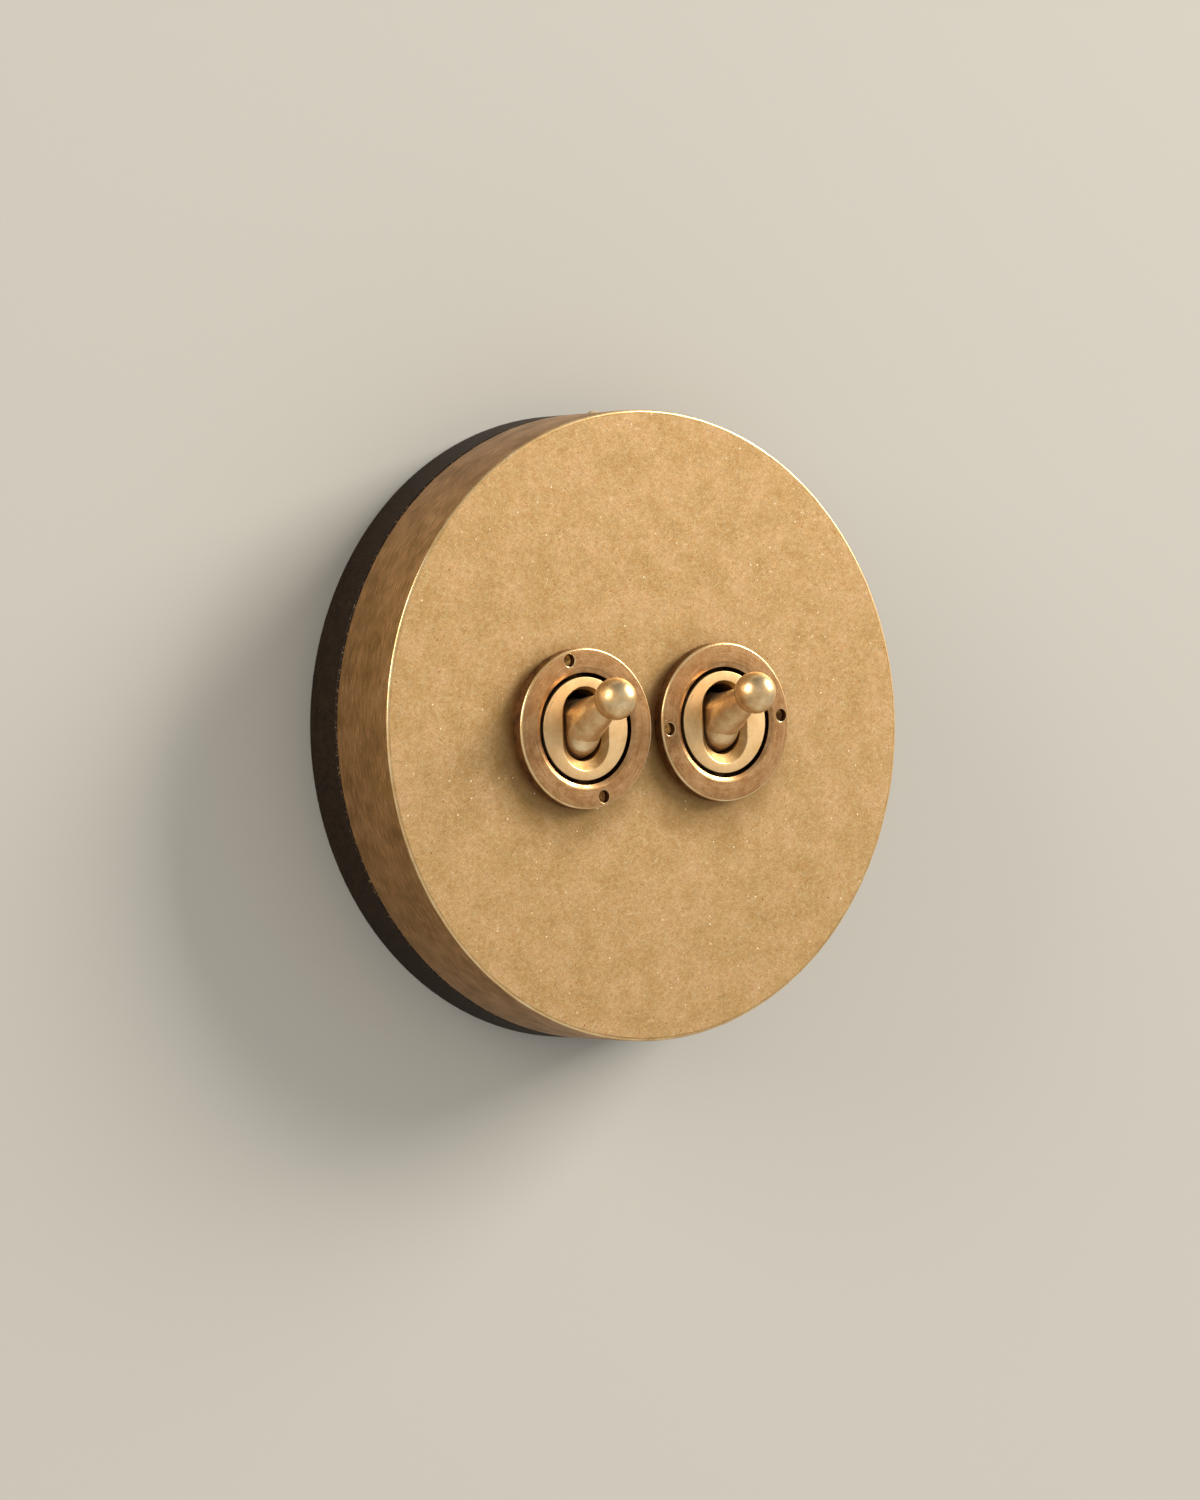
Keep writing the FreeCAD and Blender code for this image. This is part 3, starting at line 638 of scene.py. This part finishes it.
def makeCover(shape):
    soft = shape["rimRounding"]
    inner = coverRadius - shape["wall"]
    under = faceOut - shape["wall"]
    flatRadius = coverRadius - shape["frontRadius"]
    lineRadius = flatRadius - shape["edgeLine"]
    corners = [
        (0, faceOut, 0),
        (lineRadius, faceOut, 0),
        (coverRadius, faceOut, shape["frontRadius"]),
        (coverRadius, rimOut + shape["rimChamfer"], soft),
        (coverRadius - shape["rimChamfer"], rimOut, soft),
        (inner, rimOut, soft),
        (inner, under, shape["innerRadius"]),
        (0, under, 0),
    ]
    cover = turnedPiece("coverCup", softCorners(corners, shape["cornerSteps"]), shape["segments"])
    start, end = under - overCut, faceOut + overCut
    cutters = [
        turnedRod("bushHole", shape["holeRadius"], start, end, boreSegments, switch["across"])
        for switch in switches.values()
    ]
    screwLow, screwHigh = nodeBox("cover_screws")
    length = coverRadius + overCut
    hole = turnedRod("screwHole", shape["screwHoleRadius"], -length, length, drillSegments)
    lying = Matrix.Rotation(math.radians(90), 4, "X")
    place(hole, Matrix.Translation((0, (screwLow.y + screwHigh.y) / 2 * mm, 0)) @ lying)
    cutters.append(hole)
    cutWith(cover, cutters)

    def finishAt(middle, normal):
        out = -middle.y
        radius = math.hypot(middle.x, middle.z)
        if out > faceOut - onFace:
            return edgeLineBrass if radius > lineRadius else faceBrass
        if out > faceOut - shape["frontRadius"] and radius > flatRadius and -normal.y > shape["rubbedFrom"]:
            return faceBrass if -normal.y > shape["rubbedTo"] else edgeBrass
        # the side wall, its darker colour partly painted shade
        return sideBrassWithPaintedShade

    paint(cover, [sideBrassWithPaintedShade, faceBrass, edgeBrass, edgeLineBrass], finishAt)
    carry(cover, "plate", "cover_brass", "cover")


makeCover(coverShape)
print("cover made")


# Ring nuts: flat face between a rubbed outer edge and a shallow inner chamfer, with two blind spanner holes
ringShape = {
    "radius": 11.4, "bore": 7.95, "outerRounding": 0.3, "edgeRounding": 0.04,
    "innerChamfer": 0.55, "innerDrop": 0.28, "innerRounding": 1.0,
    "holeCircle": 10.05, "holeRadius": 0.92, "holeDepth": 1.1, "holePoint": 0.5,
    "holeRim": 0.11, "holeRimDrop": 0.07, "turn": {"left": 105.0, "right": 3.5},
    "segments": 256, "cornerSteps": 8,
    "rubbedTo": 0.97, "flatFrom": 0.995,  # the same, where the rubbed edge ends and the flat face begins
}


def makeRingNut(side, shape):
    switch = switches[side]
    top = switch["ringOut"]
    soft = shape["edgeRounding"]
    corners = [
        (shape["bore"], faceOut, 0),
        (shape["radius"], faceOut, soft),
        (shape["radius"], top, shape["outerRounding"]),
        (shape["bore"] + shape["innerChamfer"], top, shape["innerRounding"]),
        (shape["bore"], top - shape["innerDrop"], soft),
    ]
    profile = softCorners(corners, shape["cornerSteps"])
    ring = turnedPiece(side + "RingNut", profile, shape["segments"], switch["across"])
    bottom = top - shape["holeDepth"]
    mouth = shape["holeRadius"] + shape["holeRim"]
    cutters = []
    holes = []
    for angle in (shape["turn"][side], shape["turn"][side] + 180):
        drill = turnedPiece("spannerHole", [
            (0, top + overCut), (mouth, top + overCut), (mouth, top),
            (shape["holeRadius"], top - shape["holeRimDrop"]),
            (shape["holeRadius"], bottom), (0, bottom - shape["holePoint"]),
        ], drillSegments)
        turn = math.radians(angle)
        across = switch["across"] + shape["holeCircle"] * math.cos(turn)
        up = shape["holeCircle"] * math.sin(turn)
        place(drill, Matrix.Translation(onWall(across, up, 0)))
        cutters.append(drill)
        holes.append((across, up))
    cutWith(ring, cutters)

    def finishAt(middle, normal):
        out = -middle.y
        radius = math.hypot(middle.x - switch["across"], middle.z)
        fromHole = min(math.hypot(middle.x - across, middle.z - up) for across, up in holes)
        # hole walls and the nut's outside: dirt with painted shade; below the inner chamfer: near-black dirt
        # and painted shade
        if fromHole < mouth and out < top - onFace:
            if out > top - shape["holeRimDrop"]:
                return edgeBrass
            return drilledBrass if out < bottom - onFace else grimeAndShadeBrass
        if radius > shape["radius"] - shape["outerRounding"]:
            if out < top - shape["outerRounding"]:
                return grimeAndShadeBrass
            return edgeBrass if -normal.y < shape["rubbedTo"] else ringBrass
        if -normal.y < shape["flatFrom"] and radius < shape["bore"] + 2 * shape["innerChamfer"]:
            return chamferBrass if out > top - shape["innerDrop"] else dirtAndShadeHoleBrass
        return ringBrass

    paint(ring, [ringBrass, edgeBrass, grimeAndShadeBrass, dirtAndShadeHoleBrass, drilledBrass, chamferBrass], finishAt)
    carry(ring, "plate", "ring_brass", side + "_ring_nut")


for side in switches:
    makeRingNut(side, ringShape)
print("ring nuts made")


# Bushes: threaded barrel, slot with a rounded lip, flange behind the cover
bushShape = {
    "radius": 7.9, "discRadius": 7.32, "discThickness": 0.35,
    "rootRadius": 6.9, "rootSlope": 0.2, "rootLength": 2.6,
    "slotWidth": 6.4, "slotAbove": 5.6, "slotBelow": 4.55,
    "lipDepth": 0.8, "lipSides": 0.85, "lipAbove": 0.4, "lipBelow": 1.45, "lipBeyond": 1.25,
    "innerRounding": 0.28, "outerRounding": 0.14, "edgeRounding": 0.09,
    "flangeWidth": 20.0, "flangeLength": 29.0, "flangeCorner": 1.0, "flangeThickness": 1.5,
    "pinRadius": 0.8, "screwRadius": 1.05, "screwHeadRadius": 1.95, "screwHeadDepth": 0.9, "screwUp": 12.2,
    "points": 256, "lipSteps": 5,
    "wallUnder": 0.01, "barrelInside": 0.1, "rimUnder": 0.045, "flatFrom": 0.995,  # limits of the finishes
}


def obroundPoint(width, length, turn):
    # where a ray from the centre at this turn meets an obround
    radius = width / 2
    straight = length / 2 - radius
    across, up = math.cos(turn), math.sin(turn)
    if abs(up) * radius <= straight * abs(across):
        reach = radius / abs(across)
    else:
        lift = straight * abs(up)
        reach = lift + math.sqrt(max(lift * lift - straight * straight + radius * radius, 0))
    return across * reach, up * reach


def roundedBoxPoint(width, length, corner, turn):
    # the same for a rectangle with rounded corners
    across, up = abs(math.cos(turn)), abs(math.sin(turn))
    innerWidth, innerLength = width / 2 - corner, length / 2 - corner
    if up * width / 2 <= innerLength * across:
        reach = width / 2 / across
    elif across * length / 2 <= innerWidth * up:
        reach = length / 2 / up
    else:
        lift = innerWidth * across + innerLength * up
        reach = lift + math.sqrt(max(lift * lift - innerWidth ** 2 - innerLength ** 2 + corner ** 2, 0))
    return math.cos(turn) * reach, math.sin(turn) * reach


def makeBush(side, shape):
    switch = switches[side]
    top = switch["bushOut"]
    back = switch["flangeOut"]
    front = back + shape["flangeThickness"]
    lipStart = top - shape["lipDepth"]
    turns = [2 * math.pi * (k + 0.5) / shape["points"] for k in range(shape["points"])]
    loops = []

    def addLoop(places, out, lift=0.0):
        loops.append([onWall(switch["across"] + x, z + lift, out) for x, z in places])

    # from the slot's wall, at distance 0, to the outer edge of its sloped lip, which is wider below
    lipEdge = shape["lipSides"]
    lip = softCorners([
        (0, back, 0),
        (0, lipStart, shape["innerRounding"]),
        (lipEdge, top, shape["outerRounding"]),
        (lipEdge * shape["lipBeyond"], top, 0),
    ], shape["lipSteps"])
    for distance, out in lip:
        share = distance / lipEdge
        high = shape["slotAbove"] + share * shape["lipAbove"]
        low = shape["slotBelow"] + share * shape["lipBelow"]
        width = shape["slotWidth"] + 2 * share * shape["lipSides"]
        addLoop([obroundPoint(width, high + low, t) for t in turns], out, (high - low) / 2)
    outer = softCorners([
        (shape["slotAbove"], top, 0),
        (shape["discRadius"], top, shape["edgeRounding"]),
        (shape["discRadius"], top - shape["discThickness"], 0),
        (shape["rootRadius"], top - shape["discThickness"] - shape["rootSlope"], 0),
        (shape["rootRadius"], top - shape["rootLength"], 0),
        (shape["radius"], top - shape["rootLength"], 0),
        (shape["radius"], front, 0),
    ])
    for radius, out in outer[1:]:
        addLoop([(radius * math.cos(t), radius * math.sin(t)) for t in turns], out)
    size = (shape["flangeWidth"], shape["flangeLength"], shape["flangeCorner"])
    for out in (front, back):
        addLoop([roundedBoxPoint(*size, t) for t in turns], out)
    bush = bridgeLoops(side + "Bush", loops)

    pin = turnedRod("pinHole", shape["pinRadius"], -shape["radius"], shape["radius"], pinSegments)
    lying = Matrix.Rotation(math.radians(90), 4, "Z")
    place(pin, Matrix.Translation(onWall(switch["across"], 0, switch["pivotOut"])) @ lying)
    cutters = [pin]
    narrow, wide = shape["screwRadius"], shape["screwHeadRadius"]
    for end in (-1, 1):
        screw = turnedPiece("flangeHole", [
            (0, back - overCut), (narrow, back - overCut), (narrow, front - shape["screwHeadDepth"]),
            (wide, front), (wide, front + overCut), (0, front + overCut),
        ], drillSegments)
        place(screw, Matrix.Translation(onWall(switch["across"], end * shape["screwUp"], 0)))
        cutters.append(screw)
    cutWith(bush, cutters)

    def finishAt(middle, normal):
        out = -middle.y
        radius = math.hypot(middle.x - switch["across"], middle.z)
        # inside the slot and round the disc's edge: dirt with painted shade
        if out < lipStart - shape["wallUnder"]:
            return grimeAndShadeBrass if radius < shape["rootRadius"] - shape["barrelInside"] else dirtAndShadeHoleBrass
        if radius < shape["discRadius"] - shape["edgeRounding"]:
            # the sloped lip, its browner colour painted shade
            if out < top - shape["rimUnder"]:
                return shadedLipBrass
            return edgeBrass if -normal.y < shape["flatFrom"] else discBrass
        return dirtAndShadeHoleBrass if out < top - shape["discThickness"] else discBrass

    paint(bush, [discBrass, dirtAndShadeHoleBrass, shadedLipBrass, edgeBrass, grimeAndShadeBrass], finishAt)
    carry(bush, "plate", "bush_brass", side + "_bush")


for side in switches:
    makeBush(side, bushShape)
print("bushes made")


# Screw thread shown in the gap between bush and nut, wound by geometry nodes
threadShape = {
    "coreRadius": 6.95, "ridge": 0.34, "pitch": 0.75, "turns": 2.6, "below": 0.30,
    "steps": 160, "sides": 4, "sharpAngle": 40,
}


def threadTree(sides):
    tree = bpy.data.node_groups.new("woundThread", "GeometryNodeTree")
    inputs = (
        ("Radius", "NodeSocketFloat"), ("Ridge", "NodeSocketFloat"), ("Height", "NodeSocketFloat"),
        ("Turns", "NodeSocketFloat"), ("Steps", "NodeSocketInt"), ("Finish", "NodeSocketMaterial"),
    )
    for name, kind in inputs:
        tree.interface.new_socket(name, in_out="INPUT", socket_type=kind)
    tree.interface.new_socket("Geometry", in_out="OUTPUT", socket_type="NodeSocketGeometry")
    given = addNode(tree, "NodeGroupInput")
    helix = addNode(tree, "GeometryNodeCurveSpiral", {
        "Resolution": given.outputs["Steps"], "Rotations": given.outputs["Turns"],
        "Start Radius": given.outputs["Radius"], "End Radius": given.outputs["Radius"],
        "Height": given.outputs["Height"],
    })
    section = addNode(tree, "GeometryNodeCurvePrimitiveCircle", {
        "Resolution": sides, "Radius": given.outputs["Ridge"],
    })
    wound = addNode(tree, "GeometryNodeCurveToMesh", {
        "Curve": helix.outputs[0], "Profile Curve": section.outputs[0], "Fill Caps": True,
    })
    real = addNode(tree, "GeometryNodeRealizeInstances", {0: wound.outputs[0]})
    finish = addNode(tree, "GeometryNodeSetMaterial", {
        "Geometry": real.outputs[0], "Material": given.outputs["Finish"],
    })
    addNode(tree, "NodeGroupOutput", {0: finish.outputs[0]})
    return tree


def windWire(name, tree, values, sharpAngle):
    piece = bpy.data.objects.new(name, bpy.data.meshes.new(name))
    scene.collection.objects.link(piece)
    modifier = piece.modifiers.new("wind", "NODES")
    modifier.node_group = tree
    for item in tree.interface.items_tree:
        if item.in_out == "INPUT" and item.name in values:
            modifier[item.identifier] = values[item.name]
    return settle(piece, sharpAngle)


def makeThread(side, tree, shape):
    switch = switches[side]
    height = shape["pitch"] * shape["turns"]
    # the thread takes the near-black of dirt and painted shade, with painted glints on its crests
    thread = windWire(side + "BushThread", tree, {
        "Radius": shape["coreRadius"] * mm, "Ridge": shape["ridge"] * mm, "Height": height * mm,
        "Turns": shape["turns"], "Steps": shape["steps"], "Finish": dirtAndShadeHoleBrass,
    }, shape["sharpAngle"])
    start = onWall(switch["across"], 0, switch["bushOut"] - shape["below"] - height)
    place(thread, Matrix.Translation(start) @ Matrix.Rotation(math.radians(90), 4, "X"))
    carry(thread, "plate", "bush_brass")


woundThread = threadTree(threadShape["sides"])
for side in switches:
    makeThread(side, woundThread, threadShape)
print("threads wound")


# Dollies: ball and conical stem on a round-rimmed, flatted pivot boss, with a bored tail, tipped up
dollyShape = {
    "ballRadius": 3.0, "ballReach": 11.0, "neckRadius": 1.9, "stemRadius": 3.4, "stemReach": 2.107,
    "bossRadius": 4.35, "bossRim": 3.05, "bossWidth": 6.0, "flatCut": 4.0, "flatCutLength": 14.0,
    "tailRadius": 2.5, "tailReach": 7.2, "tailChamfer": 0.3,
    "boreRadius": 1.55, "boreStart": 1.35, "pinHole": 0.83,
    "throw": 22.0, "segments": 128, "ballSteps": 40, "rimSteps": 48,
    "wear": 0.09, "wearSegments": 2, "wearAngle": 20.0, "sharpAngle": 18,  # edges that handling has rounded
}


def makeDolly(side, shape):
    switch = switches[side]
    ball, neck, boss, rim = (shape[key] for key in ("ballRadius", "neckRadius", "bossRadius", "bossRim"))
    tail, bore = shape["tailRadius"], shape["boreRadius"]
    reach, boreStart, count = shape["tailReach"], shape["boreStart"], shape["segments"]
    lying = Matrix.Rotation(math.radians(90), 4, "Z")
    neckDrop = math.degrees(math.acos(neck / ball))
    profile = [(0, shape["ballReach"] + ball)]
    profile += arcPoints((0, shape["ballReach"]), ball, 90, -neckDrop, shape["ballSteps"])[1:]
    profile += [(shape["stemRadius"], shape["stemReach"]), (0, shape["stemReach"])]
    dolly = turnedPiece(side + "Dolly", profile, count)
    rimArc = arcPoints((boss - rim, 0), rim, -90, 90, shape["rimSteps"])
    wheel = turnedPiece("dollyBoss", [(0, -rim)] + rimArc + [(0, rim)], count)
    place(wheel, lying)
    stalk = turnedPiece("dollyTail", [
        (0, 0), (tail, 0), (tail, shape["tailChamfer"] - reach), (tail - shape["tailChamfer"], -reach),
        (bore, -reach), (bore, -boreStart), (0, -boreStart),
    ], count)
    cutWith(dolly, [wheel, stalk], "UNION")
    cutters = [turnedRod("dollyBore", bore, -reach, -boreStart, count)]
    thick, long = shape["flatCut"], shape["flatCutLength"]
    for end in (-1, 1):
        bm = bmesh.new()
        bmesh.ops.create_cube(bm, size=1)
        slab = finishMesh("flatCut", bm)
        middle = onWall(end * (shape["bossWidth"] + thick) / 2, 0, 0)
        place(slab, Matrix.Translation(middle) @ Matrix.Diagonal((thick * mm, long * mm, long * mm, 1)))
        cutters.append(slab)
    pin = turnedRod("pinHole", shape["pinHole"], -boss, boss, pinSegments)
    place(pin, lying)
    cutters.append(pin)
    cutWith(dolly, cutters)
    bevel = dolly.modifiers.new("worn", "BEVEL")
    bevel.width = shape["wear"] * mm
    bevel.segments = shape["wearSegments"]
    bevel.limit_method = "ANGLE"
    bevel.angle_limit = math.radians(shape["wearAngle"])
    settle(dolly, shape["sharpAngle"])
    pivot = onWall(switch["across"], 0, switch["pivotOut"])
    place(dolly, Matrix.Translation(pivot) @ Matrix.Rotation(math.radians(-shape["throw"]), 4, "X"))
    dolly.data.materials.append(leverBrass)
    carry(dolly, side + "_lever", "dolly_brass", side + "_dolly")


for side in switches:
    makeDolly(side, dollyShape)
print("dollies made")


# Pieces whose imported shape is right: a merged, smooth-shaded copy of each takes its finish
def dressNode(node, body, slot, material):
    bm = bmesh.new()
    bm.from_mesh(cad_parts[node].data)
    bmesh.ops.remove_doubles(bm, verts=bm.verts, dist=weldPacked)
    mesh = bpy.data.meshes.new(node + "Dressed")
    bm.to_mesh(mesh)
    bm.free()
    mesh.materials.clear()
    mesh.materials.append(material)
    piece = bpy.data.objects.new(node + "Dressed", mesh)
    scene.collection.objects.link(piece)
    for polygon in mesh.polygons:
        polygon.material_index = 0
    softenShading(piece)
    carry(piece, body, slot, node)
    return piece


chipped = {"from": 0.44, "to": 0.01, "width": 0.5}  # mm behind the cover's rim, and inside its radius
pattress = dressNode("pattress", "plate", "pattress_moulding", pattressMoulding)
# the chipped edge band takes the finish with painted glints
pattress.data.materials.append(pattressEdgePaintedGlints)
for polygon in pattress.data.polygons:
    middle = polygon.center / mm
    inBand = rimOut - chipped["from"] < -middle.y < rimOut - chipped["to"]
    if inBand and math.hypot(middle.x, middle.z) > coverRadius - chipped["width"]:
        polygon.material_index = 1
dressNode("cover_screws", "plate", "brass_screws", edgeBrass)
for side in switches:
    for part, body, slot, material in (
        ("pivot_pin", "plate", "steel_pin", groundSteel),
        ("housing", "plate", "housing_moulding", housingMoulding),
        ("terminal_screws", "plate", "plated_screws", platedSteel),
        ("flange_screws", "plate", "plated_screws", platedSteel),
        ("upper_terminal", "plate", "contact_brass", stripBrass),
        ("lower_terminal", "plate", "contact_brass", stripBrass),
        ("common_terminal", "plate", "contact_brass", stripBrass),
        ("rocker", side + "_see_saw", "contact_brass", stripBrass),
    ):
        dressNode(side + "_" + part, body, slot, material)
    for part in ("plunger", "spring"):
        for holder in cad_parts[side + "_" + part].material_slots:
            holder.material = groundSteel
print("inner pieces dressed")


# Wall behind the object: plain pale paint, seen only from the room's side. It is open where the base covers
# it, so that light reaches the back
wallShape = {
    "radius": 2500.0, "behind": 0.15, "underBase": 0.6, "points": 128, "colour": "#c2bfb6", "rough": 0.7,
}


def makeWall(shape):
    bm = bmesh.new()
    baseLow, baseHigh = nodeBox("pattress")
    opening = (baseHigh.x - baseLow.x) / 2 - shape["underBase"]
    turns = [2 * math.pi * k / shape["points"] for k in range(shape["points"])]
    inner, outer = (
        [bm.verts.new(onWall(radius * math.cos(t), radius * math.sin(t), -shape["behind"])) for t in turns]
        for radius in (opening, shape["radius"])
    )
    for k in range(shape["points"]):
        after = (k + 1) % shape["points"]
        bm.faces.new((inner[k], outer[k], outer[after], inner[after]))
    mesh = bpy.data.meshes.new("paleWall")
    bm.to_mesh(mesh)
    bm.free()
    wall = bpy.data.objects.new("paleWall", mesh)
    scene.collection.objects.link(wall)
    material, tree, shader = startMaterial("paleWallPaint")[:3]
    shader.inputs["Base Color"].default_value = hexColour(shape["colour"])
    shader.inputs["Roughness"].default_value = shape["rough"]
    geometry = addNode(tree, "ShaderNodeNewGeometry")
    clear = addNode(tree, "ShaderNodeBsdfTransparent")
    mixed = addNode(tree, "ShaderNodeMixShader", {
        0: geometry.outputs["Backfacing"], 1: shader.outputs[0], 2: clear.outputs[0],
    })
    output = next(node for node in tree.nodes if node.type == "OUTPUT_MATERIAL")
    tree.links.new(mixed.outputs[0], output.inputs[0])
    mesh.materials.append(material)


makeWall(wallShape)


# Soft studio light: a large key from the upper right and a weaker card from the left, in pale air
lamps = {
    "key": {"towards": (0.80, -0.40, 0.46), "size": 1.4, "watts": 118.0},
    "card": {"towards": (-0.90, -0.10, 0.44), "size": 1.9, "watts": 84.0},
    "both": {"distance": 3.0, "colour": "#fffaf2"},
}


def addLamp(name, look):
    data = bpy.data.lights.new(name, "AREA")
    data.shape = "SQUARE"
    data.size = look["size"]
    data.energy = look["watts"]
    data.color = hexColour(look["colour"])[:3]
    lamp = bpy.data.objects.new(name, data)
    scene.collection.objects.link(lamp)
    towards = Vector(look["towards"]).normalized()
    lamp.location = towards * look["distance"]
    lamp.rotation_mode = "QUATERNION"
    lamp.rotation_quaternion = towards.to_track_quat("Z", "Y")


for name in ("key", "card"):
    addLamp(name, dict(lamps["both"], **lamps[name]))

# The air is pale from the right front, the left front and below, and dim elsewhere, so that the metal has
# light and dark in it and the wall keeps its shadow. From behind it lights only the back
air = {
    "from": (
        (0.62, -0.66, 0.36), (-0.70, -0.62, 0.24), (0.15, -0.50, -0.85),
        (0.30, 0.90, 0.20), (-0.45, 0.85, 0.0),
    ),
    "dark": 0.12, "pale": 0.66, "fade": (0.3, 0.9),
    "overhead": 0.5, "overheadFade": (0.2, 0.9), "colour": "#fffcf7",
}


def makeAir(look):
    world = bpy.data.worlds.new("studioAir")
    scene.world = world
    world.use_nodes = True
    tree = world.node_tree
    tree.nodes.clear()
    direction = addNode(tree, "ShaderNodeTexCoord").outputs["Generated"]
    facing = 0.0
    for towards in look["from"]:
        toward = addNode(tree, "ShaderNodeVectorMath", {
            0: direction, 1: Vector(towards).normalized(),
        }, operation="DOT_PRODUCT")
        facing = addNode(tree, "ShaderNodeMath", {
            0: toward.outputs["Value"], 1: facing,
        }, operation="MAXIMUM").outputs[0]
    level = addNode(tree, "ShaderNodeMapRange", {
        "Value": facing, "From Min": look["fade"][0], "From Max": look["fade"][1],
        "To Min": look["dark"], "To Max": look["pale"],
    })
    rise = addNode(tree, "ShaderNodeSeparateXYZ", {0: direction})
    dimming = addNode(tree, "ShaderNodeMapRange", {
        "Value": rise.outputs[2], "From Min": look["overheadFade"][0], "From Max": look["overheadFade"][1],
        "To Min": 1.0, "To Max": look["overhead"],
    })
    strength = addNode(tree, "ShaderNodeMath", {
        0: level.outputs[0], 1: dimming.outputs[0],
    }, operation="MULTIPLY")
    soft = addNode(tree, "ShaderNodeBackground", {
        "Color": hexColour(look["colour"]), "Strength": strength.outputs[0],
    })
    addNode(tree, "ShaderNodeOutputWorld", {0: soft.outputs[0]})


makeAir(air)
scene.view_settings.view_transform = "Standard"
print("stage and light set")

print("all pieces in place")
